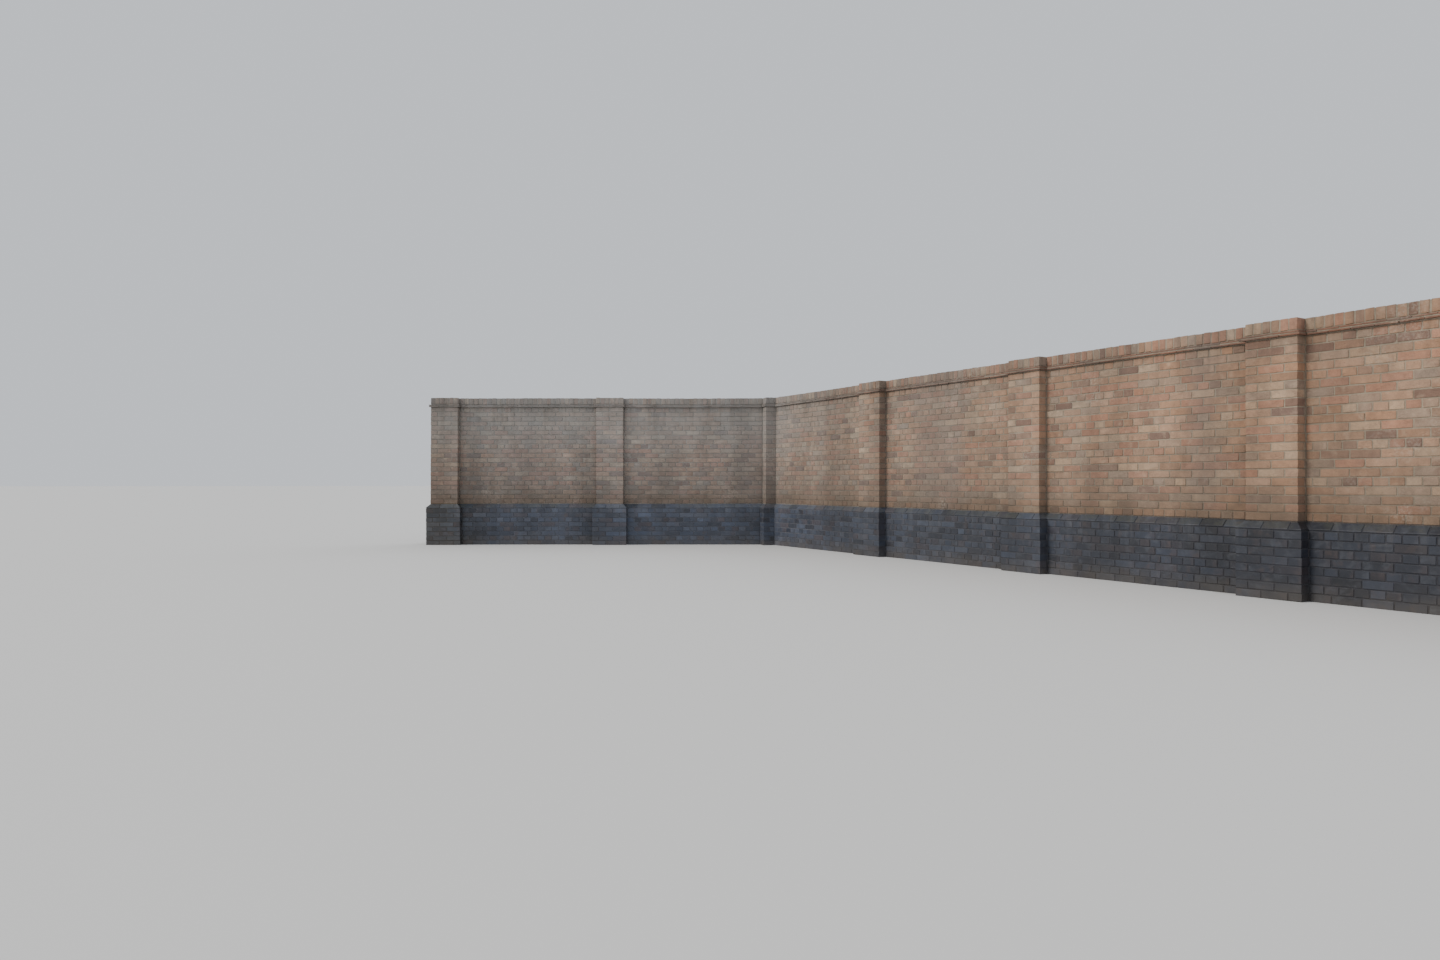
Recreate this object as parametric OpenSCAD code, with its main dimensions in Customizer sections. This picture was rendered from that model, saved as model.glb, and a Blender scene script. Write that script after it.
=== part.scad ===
// Brick garden wall: two runs of one-brick walling that meet at a corner
// pier, laid out in bays between square piers. Every bay stands on a
// projecting dark engineering-brick plinth with a chamfered top course, and
// is finished with a projecting tile creasing and a brick-on-edge coping that
// runs on level round the pier heads.
// Millimetres, +Z up. The back run lies along X, the side run leaves the
// corner pier towards -Y and +X. The origin is on the ground at the middle of
// the whole wall's outline.

/* [Brick] */
// Length of one brick, which is also the thickness of the wall
brick_l = 215; // [200:1:240]
// Height of one brick on its bed
brick_h = 65; // [50:1:75]
// Width of one brick, which is its height when it is laid on edge
brick_w = 102.5; // [90:0.5:115]
// Thickness of a mortar joint
joint = 10; // [6:1:12]

/* [Layout] */
// Stretchers in the clear length of one bay, between its two piers
bay_stretchers = 10; // [6:1:12]
// Angle between the side run and a square return of the back run, degrees
corner_turn = 30; // [0:5:40]

/* [Courses] */
// Courses in the dark plinth, its chamfered top course included
plinth_courses = 9; // [4:1:12]
// Courses of walling between plinth and creasing
wall_courses = 21; // [9:4:29]

/* [Plinth and top] */
// How far the plinth stands out past the walling on each side
plinth_step = 56.25; // [20:1.25:60]
// Thickness of the two-tile creasing course with its mortar
creasing_h = 37.5; // [25:0.5:50]
// How far the 265 mm tiles of the creasing stand out past the walling on each side
creasing_step = 25; // [20:1:60]

/* [Hidden] */
course = brick_h + joint;
wall_t = brick_l;
pier_w = 2 * brick_l + joint;
clear = bay_stretchers * (brick_l + joint) + joint;
pitch = clear + pier_w;

plinth_t = wall_t + 2 * plinth_step;
base_w = pier_w + 2 * plinth_step;
plinth_h = plinth_courses * course;
chamfer_top = plinth_h - joint;
chamfer_low = chamfer_top - plinth_step;

wall_top = plinth_h + wall_courses * course;
creasing_top = wall_top + creasing_h;
coping_h = joint + brick_w;
total_h = creasing_top + coping_h;
creasing_t = wall_t + 2 * creasing_step;
head_w = pier_w + 2 * creasing_step;

n_back = 2;
n_side = 4;
side_dir = corner_turn - 90;
corner_rot = corner_turn / 2;

// Pier centres before the origin is moved: [x, y, turn about Z]
piers = concat(
  [for (i = [0:n_back - 1]) [-(n_back - i) * pitch, 0, 0]],
  [[0, 0, corner_rot]],
  [for (k = [1:n_side]) [k * pitch * cos(side_dir), k * pitch * sin(side_dir), side_dir]]
);
// Corners of every pier base, which reach furthest on all four sides
rim = [for (p = piers) for (q = [0:3]) [
  p[0] + base_w / sqrt(2) * cos(p[2] + 45 + 90 * q),
  p[1] + base_w / sqrt(2) * sin(p[2] + 45 + 90 * q)
]];
mid_x = (min([for (r = rim) r[0]]) + max([for (r = rim) r[0]])) / 2;
mid_y = (min([for (r = rim) r[1]]) + max([for (r = rim) r[1]])) / 2;

brick_colour = [0.66, 0.54, 0.46];
plinth_colour = [0.27, 0.29, 0.33];
tile_colour = [0.55, 0.38, 0.31];
coping_colour = [0.62, 0.49, 0.41];

// Puts a pier, drawn round its own centre, at place n along the wall
module at_pier(n) {
  translate([piers[n][0] - mid_x, piers[n][1] - mid_y, 0])
    rotate([0, 0, piers[n][2]]) children();
}

// Puts a bay of the back run, drawn along +X from its left pier's centre
module at_back(bay) {
  translate([-(n_back - bay + 1) * pitch - mid_x, -mid_y, 0]) children();
}

// Puts a bay of the side run, drawn along +X from its far pier's centre
module at_side(bay) {
  translate([-mid_x, -mid_y, 0])
    rotate([0, 0, side_dir]) translate([(bay - 1) * pitch, 0, 0]) children();
}

// Cross-section of a plinth of thickness t under walling of thickness w,
// carried past its ends by extra so that it can also be used as a cutter
module plinth_section(t, w, extra = 0) {
  polygon([
    [-t / 2, -extra], [t / 2, -extra], [t / 2, chamfer_low],
    [w / 2, chamfer_top], [w / 2, plinth_h + extra],
    [-w / 2, plinth_h + extra], [-w / 2, chamfer_top], [-t / 2, chamfer_low]
  ]);
}

// A length of plinth along +X from 0 to l
module plinth_length(l) {
  rotate([90, 0, 90]) linear_extrude(height = l) plinth_section(plinth_t, wall_t);
}

// The square base of a pier: the plinth's section on all four sides
module base_solid(extra = 0) {
  intersection() {
    translate([-base_w, 0, 0]) rotate([90, 0, 90])
      linear_extrude(height = 2 * base_w) plinth_section(base_w, pier_w, extra);
    translate([0, base_w, 0]) rotate([90, 0, 0])
      linear_extrude(height = 2 * base_w) plinth_section(base_w, pier_w, extra);
  }
}

// A square block of width w from z0 to z1
module block(w, z0, z1) {
  translate([-w / 2, -w / 2, z0]) cube([w, w, z1 - z0]);
}

// A bar of thickness t from z0 to z1 along one bay, cut to butt against
// square blocks of width w at both piers; turn0 and turn1 are the angles
// those piers stand at, seen from the bay
module bay_bar(t, z0, z1, w, turn0, turn1) {
  difference() {
    translate([0, -t / 2, z0]) cube([pitch, t, z1 - z0]);
    rotate([0, 0, turn0]) block(w, z0 - 5, z1 + 5);
    translate([pitch, 0, 0]) rotate([0, 0, turn1]) block(w, z0 - 5, z1 + 5);
  }
}

module pier_base(n) {
  color(plinth_colour) at_pier(n) base_solid();
}

module pier_shaft(n) {
  color(brick_colour) at_pier(n) block(pier_w, plinth_h, wall_top);
}

// Two-tile creasing and bricks on edge over a pier head
module pier_cap(n) {
  color(coping_colour) at_pier(n) {
    block(head_w, wall_top, creasing_top);
    block(pier_w, creasing_top, total_h);
  }
}

module bay_plinth(turn0, turn1) {
  color(plinth_colour) difference() {
    plinth_length(pitch);
    rotate([0, 0, turn0]) base_solid(5);
    translate([pitch, 0, 0]) rotate([0, 0, turn1]) base_solid(5);
  }
}

module bay_wall(turn0, turn1) {
  color(brick_colour) bay_bar(wall_t, plinth_h, wall_top, pier_w, turn0, turn1);
}

module bay_creasing(turn0, turn1) {
  color(tile_colour) bay_bar(creasing_t, wall_top, creasing_top, head_w, turn0, turn1);
}

module bay_coping(turn0, turn1) {
  color(coping_colour) bay_bar(wall_t, creasing_top, total_h, pier_w, turn0, turn1);
}

// The corner pier stands on the line that halves the corner, so each run
// meets it half the corner's turn off square
function back_turn(bay) = bay == n_back ? corner_rot : 0;
function side_turn(bay) = bay == 1 ? -corner_rot : 0;

pier_base(0);  // left_pier_base
pier_shaft(0);  // left_pier_shaft
pier_cap(0);  // left_pier_cap
pier_base(1);  // back_pier_base
pier_shaft(1);  // back_pier_shaft
pier_cap(1);  // back_pier_cap
pier_base(2);  // corner_pier_base
pier_shaft(2);  // corner_pier_shaft
pier_cap(2);  // corner_pier_cap
pier_base(3);  // side_pier_1_base
pier_shaft(3);  // side_pier_1_shaft
pier_cap(3);  // side_pier_1_cap
pier_base(4);  // side_pier_2_base
pier_shaft(4);  // side_pier_2_shaft
pier_cap(4);  // side_pier_2_cap
pier_base(5);  // side_pier_3_base
pier_shaft(5);  // side_pier_3_shaft
pier_cap(5);  // side_pier_3_cap
pier_base(6);  // right_pier_base
pier_shaft(6);  // right_pier_shaft
pier_cap(6);  // right_pier_cap
at_back(1) bay_plinth(0, back_turn(1));  // back_plinth_1
at_back(1) bay_wall(0, back_turn(1));  // back_wall_1
at_back(1) bay_creasing(0, back_turn(1));  // back_creasing_1
at_back(1) bay_coping(0, back_turn(1));  // back_coping_1
at_back(2) bay_plinth(0, back_turn(2));  // back_plinth_2
at_back(2) bay_wall(0, back_turn(2));  // back_wall_2
at_back(2) bay_creasing(0, back_turn(2));  // back_creasing_2
at_back(2) bay_coping(0, back_turn(2));  // back_coping_2
at_side(1) bay_plinth(side_turn(1), 0);  // side_plinth_1
at_side(1) bay_wall(side_turn(1), 0);  // side_wall_1
at_side(1) bay_creasing(side_turn(1), 0);  // side_creasing_1
at_side(1) bay_coping(side_turn(1), 0);  // side_coping_1
at_side(2) bay_plinth(side_turn(2), 0);  // side_plinth_2
at_side(2) bay_wall(side_turn(2), 0);  // side_wall_2
at_side(2) bay_creasing(side_turn(2), 0);  // side_creasing_2
at_side(2) bay_coping(side_turn(2), 0);  // side_coping_2
at_side(3) bay_plinth(side_turn(3), 0);  // side_plinth_3
at_side(3) bay_wall(side_turn(3), 0);  // side_wall_3
at_side(3) bay_creasing(side_turn(3), 0);  // side_creasing_3
at_side(3) bay_coping(side_turn(3), 0);  // side_coping_3
at_side(4) bay_plinth(side_turn(4), 0);  // side_plinth_4
at_side(4) bay_wall(side_turn(4), 0);  // side_wall_4
at_side(4) bay_creasing(side_turn(4), 0);  // side_creasing_4
at_side(4) bay_coping(side_turn(4), 0);  // side_coping_4
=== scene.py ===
"""Brick garden wall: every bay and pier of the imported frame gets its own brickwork.

Lengths are metres. A piece is built in its own straight frame: x along the run
from a pier's centre, -y the garden side, +z up. It is then turned and moved to
where its CAD node stands.
"""

import math

import bmesh
import bpy
import numpy as np
from mathutils import Matrix, Vector


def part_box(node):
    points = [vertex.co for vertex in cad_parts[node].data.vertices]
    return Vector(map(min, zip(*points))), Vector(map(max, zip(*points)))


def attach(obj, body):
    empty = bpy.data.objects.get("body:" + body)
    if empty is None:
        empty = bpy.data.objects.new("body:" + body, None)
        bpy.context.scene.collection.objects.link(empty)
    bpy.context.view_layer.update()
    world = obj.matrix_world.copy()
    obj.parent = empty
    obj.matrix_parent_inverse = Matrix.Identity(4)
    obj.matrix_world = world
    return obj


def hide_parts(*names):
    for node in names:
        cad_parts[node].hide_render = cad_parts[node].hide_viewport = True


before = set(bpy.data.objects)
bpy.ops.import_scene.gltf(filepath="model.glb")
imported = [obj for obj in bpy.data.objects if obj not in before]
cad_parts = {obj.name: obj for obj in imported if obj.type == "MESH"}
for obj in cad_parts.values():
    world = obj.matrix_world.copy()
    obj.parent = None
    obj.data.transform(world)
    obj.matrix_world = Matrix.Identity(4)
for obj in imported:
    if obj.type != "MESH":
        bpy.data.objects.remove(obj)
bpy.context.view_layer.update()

# ---------------------------------------------------------------- sizes
BL, BW, BH, J = 0.215, 0.1025, 0.065, 0.010  # brick length, width, height; joint
COURSE = BH + J
WALL_T, PIER, STEP = 0.215, 0.440, 0.05625
PLINTH_T, BASE = WALL_T + 2 * STEP, PIER + 2 * STEP
PLINTH_COURSES, WALL_COURSES = 9, 21
PLINTH_H = PLINTH_COURSES * COURSE
NOSE = PLINTH_H - J - STEP  # where the chamfer starts
WALL_TOP = PLINTH_H + WALL_COURSES * COURSE
TILE_L, TILE_H, TILE_J = 0.265, 0.0145, 0.0085
HEAD = PIER + 0.05  # the creasing over a pier
CREASE_TOP = WALL_TOP + 2 * TILE_H + TILE_J
TOP = CREASE_TOP + J + BW
PITCH = 2.7
TURN = math.radians(30)  # the side run's turn from a square return
JOINT_EDGE, JOINT_MID = 0.0032, 0.0056  # how far the pointing lies back
LAP = 0.0045  # how far it goes on under a brick's edge

# ---------------------------------------------------------------- colours
def linear(rgb):
    c = np.asarray(rgb, float) / 255
    return np.where(c <= 0.04045, c / 12.92, ((c + 0.055) / 1.055) ** 2.4)


FACING = [  # share, colour
    (0.27, (168, 135, 110)),
    (0.20, (158, 124, 98)),
    (0.17, (164, 120, 97)),
    (0.13, (148, 129, 112)),
    (0.11, (176, 151, 125)),
    (0.08, (134, 108, 91)),
    (0.04, (110, 87, 77)),
]
BLUES = [
    (0.34, (54, 59, 68)),
    (0.26, (48, 52, 60)),
    (0.18, (64, 69, 78)),
    (0.12, (58, 54, 57)),
    (0.10, (37, 39, 45)),
]
TILES = [
    (0.45, (132, 92, 72)),
    (0.30, (118, 84, 68)),
    (0.25, (108, 86, 74)),
]
FACING_MORTAR = (154, 142, 125)
BLUE_MORTAR = (74, 75, 78)
FOOT_MORTAR = (112, 102, 90)  # the dirty bed between the plinth and the walling


def pick(rng, palette, n, spread=0.07, warm=0.03, calm=0.22):
    """n colours from a palette, each a little off in depth and in warmth. calm draws
    them towards the palette's middle."""
    share = np.array([s for s, _ in palette])
    cols = np.array([linear(c) for _, c in palette])
    cols += (share @ cols / share.sum() - cols) * calm
    got = cols[rng.choice(len(cols), n, p=share / share.sum())]
    depth = 1 + rng.normal(0, spread, (n, 1))
    tint = rng.normal(0, warm, (n, 1)) * np.array([[1.0, 0.0, -1.0]])
    return np.clip(got * depth * (1 + tint), 0.004, 0.95)


# ---------------------------------------------------------------- mesh building
HIDDEN, POINTING, BRICK = range(3)  # what a face belongs to


class Piece:
    """Collects the bricks, tiles and pointing of one piece, joined in one mesh."""

    def __init__(self, node, seed):
        self.node = node
        self.rng = np.random.default_rng(seed)
        self.v, self.loops, self.sizes = [], [], []
        self.mat, self.flat, self.col, self.off, self.loc = [], [], [], [], []
        self.kind, self.box = [], []
        self.n = 0

    def add(self, v, loops, sizes, mat, flat, col, off, loc=(0, 0, 0), kind=BRICK, box=None):
        """box is the middle and half size of each face's brick, as one row or many."""
        v = np.asarray(v, float).reshape(-1, 3)
        if box is None:
            lo, hi = v.min(0), v.max(0)
            box = np.concatenate([(lo + hi) / 2, (hi - lo) / 2])
        self.kind.append(np.full(len(sizes), kind, np.int64))
        self.box.append(np.broadcast_to(np.asarray(box, float), (len(sizes), 6)))
        self.v.append(v)
        self.loops.append(np.asarray(loops, np.int64).ravel() + self.n)
        self.sizes.append(np.asarray(sizes, np.int64))
        m = len(self.sizes[-1])
        self.mat.append(np.full(m, mat, np.int64))
        self.flat.append(np.broadcast_to(np.asarray(flat, bool), (m,)))
        self.col.append(np.broadcast_to(np.asarray(col, float), (len(v), 3)))
        self.off.append(np.broadcast_to(np.asarray(off, float), (len(v), 3)))
        self.loc.append(np.broadcast_to(np.asarray(loc, float), (len(v), 3)))
        self.n += len(v)


def make_template(xs, ys, zs, plain_back=False):
    """A box with rounded edges as a grid of lines. A line (a, b) lies at a times
    the half size plus b times the rounding. Returns A, B, quads and which are flat."""
    nx, ny, nz = len(xs), len(ys), len(zs)
    index = -np.ones((nx, ny, nz), int)
    a_all, b_all = [], []
    for i in range(nx):
        for j in range(ny):
            for k in range(nz):
                on = [i in (0, nx - 1), j in (0, ny - 1), k in (0, nz - 1)]
                if not any(on):
                    continue
                a = [xs[i][0], ys[j][0], zs[k][0]]
                b = [xs[i][1], ys[j][1], zs[k][1]]
                if plain_back and j == ny - 1:
                    on[1] = False
                n = sum(on)
                pull = {2: 1 - 1 / math.sqrt(2), 3: 1 - 1 / math.sqrt(3)}.get(n, 0.0)
                for axis in range(3):
                    if on[axis]:
                        b[axis] -= math.copysign(pull, a[axis])
                index[i, j, k] = len(a_all)
                a_all.append(a)
                b_all.append(b)
    quads, flat = [], []

    def side(n1, n2, at, inner):
        for p in range(n1 - 1):
            for q in range(n2 - 1):
                quads.append([at(p, q), at(p + 1, q), at(p + 1, q + 1), at(p, q + 1)])
                flat.append(inner(p, q))

    def mid(n, p, open_end=False):
        return 0 < p < (n - 1 if open_end else n - 2)

    ob = plain_back
    side(ny, nz, lambda p, q: index[nx - 1, p, q], lambda p, q: mid(ny, p, ob) and mid(nz, q))
    side(nz, ny, lambda p, q: index[0, q, p], lambda p, q: mid(nz, p) and mid(ny, q, ob))
    side(nz, nx, lambda p, q: index[q, ny - 1, p], lambda p, q: True if ob else (mid(nz, p) and mid(nx, q)))
    side(nx, nz, lambda p, q: index[p, 0, q], lambda p, q: mid(nx, p) and mid(nz, q))
    side(nx, ny, lambda p, q: index[p, q, nz - 1], lambda p, q: mid(nx, p) and mid(ny, q, ob))
    side(ny, nx, lambda p, q: index[q, p, 0], lambda p, q: mid(ny, p, ob) and mid(nx, q))
    return np.array(a_all), np.array(b_all), np.array(quads), np.array(flat, bool)


LINE = [(-1, 0), (-1, 1), (1, -1), (1, 0)]
LINE_OPEN = [(-1, 0), (-1, 1), (1, 0)]
LINE_WORN = [(-1, 0), (-1, 1), (-0.82, 0), (0, 0), (0.82, 0), (1, -1), (1, 0)]
LINE_WORN_Z = [(-1, 0), (-1, 1), (-0.35, 0), (0.35, 0), (1, -1), (1, 0)]
FULL = make_template(LINE, LINE, LINE)
FACE = make_template(LINE, LINE_OPEN, LINE, plain_back=True)
WORN = make_template(LINE_WORN, LINE, LINE_WORN_Z)


def small_turns(rng, n, about):
    """n small rotation matrices; about is the spread in degrees about x, y, z."""
    a = rng.normal(0, 1, (n, 3)) * np.radians(about)
    m = np.tile(np.eye(3), (n, 1, 1))
    m[:, 0, 1], m[:, 1, 0] = -a[:, 2], a[:, 2]
    m[:, 0, 2], m[:, 2, 0] = a[:, 1], -a[:, 1]
    m[:, 1, 2], m[:, 2, 1] = -a[:, 0], a[:, 0]
    return m


def lay(piece, centres, halves, cols, mat, template=FACE, turned=None, r=0.0026,
        rough=0.0009, about=(0.45, 0.3, 0.25), shift=(0.0006, 0.0007, 0.0005), chips=0.0):
    """Lays bricks: turned says which are laid back to front, chips how many are worn."""
    centres = np.asarray(centres, float).reshape(-1, 3)
    halves = np.broadcast_to(np.asarray(halves, float), centres.shape)
    n, rng = len(centres), piece.rng
    if not n:
        return
    turned = np.zeros(n, bool) if turned is None else np.asarray(turned, bool)
    if chips:
        worn = rng.random(n) < chips
        if worn.any():
            lay(piece, centres[worn], halves[worn], cols[worn], mat, WORN, turned[worn],
                r * 1.15, rough * 1.25, about, shift)
        centres, halves, cols, turned = centres[~worn], halves[~worn], cols[~worn], turned[~worn]
        n = len(centres)
        if not n:
            return
    a, b, quads, flat = template
    h = halves - np.abs(rng.normal(0, 0.0005, (n, 3))) * [1, 0, 1]
    radius = r * rng.uniform(0.75, 1.3, (n, 1, 1))
    v = a[None] * h[:, None] + b[None] * radius
    # every corner of a brick lies a little off, and what is near it goes with it
    corners = rng.normal(0, rough, (n, 2, 2, 2, 3)) * [1.0, 0.45, 0.8]
    t = (a[None] + 1) / 2
    for i in range(2):
        for j in range(2):
            for k in range(2):
                w = (
                    (t[..., 0] if i else 1 - t[..., 0])
                    * (t[..., 1] if j else 1 - t[..., 1])
                    * (t[..., 2] if k else 1 - t[..., 2])
                )
                v = v + w[..., None] * corners[:, i, j, k][:, None]
    if template is WORN:
        v = v + rng.normal(0, 0.0005, v.shape)
        for _ in range(2):  # knocked corners and arrises
            s = np.where(rng.random((n, 3)) < 0.5, -1.0, 1.0)
            s[:, 1] = -1.0
            at = s * h
            along = rng.random(n) < 0.5
            at[:, 0] = np.where(along, rng.uniform(-0.8, 0.8, n) * h[:, 0], at[:, 0])
            reach = rng.uniform(0.010, 0.026, n)[:, None]
            gap = np.linalg.norm((v - at[:, None]) * [1, 1.3, 1], axis=2)
            w = np.clip(1 - gap / reach, 0, 1) ** 0.7
            inward = -s * np.array([1.0, 1.0, 1.0])
            inward[:, 0] = np.where(along, 0, inward[:, 0])
            inward /= np.linalg.norm(inward, axis=1, keepdims=True)
            depth = rng.uniform(0.002, 0.0055, n)[:, None, None]
            v = v + w[..., None] * inward[:, None] * depth
    v = np.einsum("nij,nkj->nki", small_turns(rng, n, about), v)
    v = v * np.where(turned, -1.0, 1.0)[:, None, None] ** np.array([1, 1, 0])
    v = v + centres[:, None] + (rng.normal(0, 1, (n, 3)) * shift)[:, None]
    size = len(a)
    faces = quads[None] + (np.arange(n) * size)[:, None, None]
    piece.add(
        v, faces, np.full(n * len(quads), 4), mat, np.tile(flat, n),
        np.repeat(cols, size, axis=0),
        np.repeat(rng.uniform(-40, 40, (n, 3)), size, axis=0),
        np.tile(a, (n, 1)),
        box=np.repeat(np.c_[centres, halves], len(quads), axis=0),
    )


def cut_solid(lo, hi, planes=(), r=0.0026, rng=None, rough=0.0006):
    """A box cut by planes, with rounded edges: for chamfered and return bricks.
    A plane is (point, outward normal). Returns v, loops, sizes, flat."""
    bm = bmesh.new()
    bmesh.ops.create_cube(bm, size=1.0)
    lo, hi = np.array(lo, float), np.array(hi, float)
    for v in bm.verts:
        v.co = Vector(lo + (np.array(v.co) + 0.5) * (hi - lo))
    for point, normal in planes:
        cut = bmesh.ops.bisect_plane(
            bm, geom=bm.verts[:] + bm.edges[:] + bm.faces[:], dist=1e-6,
            plane_co=Vector(point), plane_no=Vector(normal), clear_outer=True,
        )
        edges = [g for g in cut["geom_cut"] if isinstance(g, bmesh.types.BMEdge)]
        if edges:
            bmesh.ops.holes_fill(bm, edges=edges, sides=0)
    if rng is not None:
        for v in bm.verts:
            v.co += Vector(rng.normal(0, rough, 3))
    bmesh.ops.bevel(
        bm, geom=bm.edges[:], offset=r, segments=2, profile=0.5, affect="EDGES",
        clamp_overlap=True,
    )
    bmesh.ops.recalc_face_normals(bm, faces=bm.faces[:])
    bm.verts.index_update()
    v = np.array([x.co[:] for x in bm.verts])
    loops = [w.index for f in bm.faces for w in f.verts]
    sizes = [len(f.verts) for f in bm.faces]
    flat = [f.calc_area() / max(e.calc_length() for e in f.edges) > 0.004 for f in bm.faces]
    bm.free()
    return v, loops, sizes, flat


def joint_grid(piece, grid, mat, col):
    """Adds a pointed joint given as a grid of points, rows by columns."""
    rows, cols = grid.shape[:2]
    at = np.arange(rows * cols).reshape(rows, cols)
    quads = np.stack([at[:-1, :-1], at[1:, :-1], at[1:, 1:], at[:-1, 1:]], -1).reshape(-1, 4)
    piece.add(grid.reshape(-1, 3), quads, np.full(len(quads), 4), mat, False, col,
              np.zeros(3), kind=POINTING)


class Face:
    """A flat side of a piece: u along it, w up it, normal out of it."""

    def __init__(self, origin, u, w):
        self.o, self.u, self.w = (np.array(x, float) for x in (origin, u, w))
        self.n = np.cross(self.u, self.w)

    def at(self, u, w, depth):
        u, w, depth = (np.asarray(x, float)[..., None] for x in (u, w, depth))
        return self.o + self.u * u + self.w * w - self.n * depth


def mortar_tone(piece, base):
    return linear(base) * (1 + piece.rng.normal(0, 0.035))


def bed(piece, face, u0, u1, w0, w1, mat, tone, step=0.11):
    """A bed joint: hollow pointing between w0 and w1, from u0 to u1."""
    n = max(1, round((u1 - u0) / step))
    u = np.linspace(u0, u1, n + 1)
    j = piece.rng.normal(0, 1, (n + 1, 3))
    w = np.array([w0 - LAP, (w0 + w1) / 2, w1 + LAP]) + j * [0.0, 0.0008, 0.0]
    depth = np.array([JOINT_EDGE, JOINT_MID, JOINT_EDGE]) + j * [0.0003, 0.0007, 0.0003]
    joint_grid(piece, face.at(u[:, None] + 0 * w, w, depth), mat, mortar_tone(piece, tone))


def perp(piece, face, u0, u1, w0, w1, mat, tone):
    """An upright joint between u0 and u1, from w0 to w1. Its ends rise to the edges of
    the bed joints and go on just under them."""
    u = np.array([u0 - LAP, (u0 + u1) / 2, u1 + LAP])[:, None] + np.zeros((3, 6))
    w = np.array([w0 - 0.005, w0 + LAP, w0 + 0.011, w1 - 0.011, w1 - LAP, w1 + 0.005])
    depth = np.full((3, 6), JOINT_EDGE)
    depth[1, 2:4] = JOINT_MID
    depth[:, [1, 4]] += 0.0004
    depth[:, [0, 5]] = 0.0070
    depth += piece.rng.normal(0, 0.0004, (3, 6)) * [0.2, 0.2, 1, 1, 0.2, 0.2]
    joint_grid(piece, face.at(u, w[None] + 0 * u, depth), mat, mortar_tone(piece, tone))


def path_joint(piece, path, normals, u0, u1, axis, mat, tone):
    """A joint that runs over an edge: along path, between u0 and u1 along axis."""
    path, normals, axis = (np.array(x, float) for x in (path, normals, axis))
    normals = normals / np.linalg.norm(normals, axis=1, keepdims=True)
    j = piece.rng.normal(0, 0.0004, (3, len(path)))
    depth = np.array([JOINT_EDGE, JOINT_MID, JOINT_EDGE])[:, None] + j
    u = np.array([u0 - LAP - 0.0025, (u0 + u1) / 2, u1 + LAP + 0.0025])
    grid = path[None] - normals[None] * depth[..., None] + axis * u[:, None, None]
    joint_grid(piece, grid, mat, mortar_tone(piece, tone))


def backing(piece, lo, hi, mat, tone, planes=()):
    """The solid mortar and brick behind the faces, which closes every joint."""
    v, loops, sizes, flat = cut_solid(lo, hi, planes, r=0.002)
    piece.add(v, loops, sizes, mat, flat, linear(tone) * 0.9, np.zeros(3), kind=HIDDEN)


def spans(joints, u0, u1):
    """The bricks between joints: joints are (start, end) pairs in order."""
    edges, at = [], u0
    for a, b in joints:
        if a > at + 1e-6:
            edges.append((at, a))
        at = b
    if u1 > at + 1e-6:
        edges.append((at, u1))
    return edges


# ---------------------------------------------------------------- texture map
class Chart:
    """A flat view of a piece's surface and where it lies on the texture map."""

    def __init__(self, n, planes, u, w, u_range, w_range, cell):
        self.n, self.u, self.w = (np.array(x, float) for x in (n, u, w))
        self.planes = planes
        self.lo = np.array([u_range[0], w_range[0]])
        self.span = np.array([u_range[1] - u_range[0], w_range[1] - w_range[0]])
        self.cell = np.array(cell, float)

    def place(self, v):
        t = (np.stack([v @ self.u, v @ self.w], -1) - self.lo) / self.span
        x0, y0, x1, y1 = self.cell
        return np.array([x0, y0]) + t.clip(0, 1) * [x1 - x0, y1 - y0]


def stacked(views, x0=0.002, x1=0.988, gap=0.003):
    """Charts one over another, each as tall as its share."""
    total, y, charts = sum(v[-1] for v in views), 0.002, []
    room = 0.996 - gap * (len(views) - 1)
    for *view, share in views:
        h = room * share / total
        charts.append(Chart(*view, (x0, y, x1, y + h)))
        y += h + gap
    return charts


def bay_charts(half, x0, x1, z0, z1, top=None, bottom=None):
    """A bay's two faces and, where they show, its top and underside."""
    xs, zs = (x0, x1), (z0, z1)
    views = [
        ((0, -1, 0), [half], (1, 0, 0), (0, 0, 1), xs, zs, z1 - z0),
        ((0, 1, 0), [half], (-1, 0, 0), (0, 0, 1), (-x1, -x0), zs, z1 - z0),
    ]
    if top is not None:
        views.append(((0, 0, 1), [top], (1, 0, 0), (0, 1, 0), xs, (-half, half), 2 * half))
    if bottom is not None:
        views.append(((0, 0, -1), [-bottom], (1, 0, 0), (0, -1, 0), xs, (-half, half), 2 * half))
    return stacked(views)


def pier_charts(halves, z0, z1, across, top=None, bottom=None):
    """A pier's four faces, `across` of them side by side, then its top and underside."""
    reach = max(halves) + 0.002
    cols = 4 // across
    split = 1.0 if top is None else 0.46
    charts = []
    for k in range(4):
        n = turn4(np.array([0.0, -1.0, 0.0]), k)
        u = turn4(np.array([1.0, 0.0, 0.0]), k)
        i, j = k % across, k // across
        w, h = 0.986 * split / across, 0.996 / cols
        cell = (0.002 + i * w, 0.002 + j * h, (i + 1) * w - 0.002, (j + 1) * h - 0.002)
        charts.append(Chart(n, list(halves), u, (0, 0, 1), (-reach, reach), (z0, z1), cell))
    for j, (plane, sign) in enumerate(((top, 1), (bottom, -1))):
        if plane is not None:
            cell = (split * 0.99, 0.002 + 0.5 * j, 0.986, 0.496 + 0.5 * j)
            charts.append(Chart((0, 0, sign), [x * sign for x in plane], (1, 0, 0),
                                (0, sign, 0), (-reach, reach), (-reach, reach), cell))
    return charts


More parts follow.
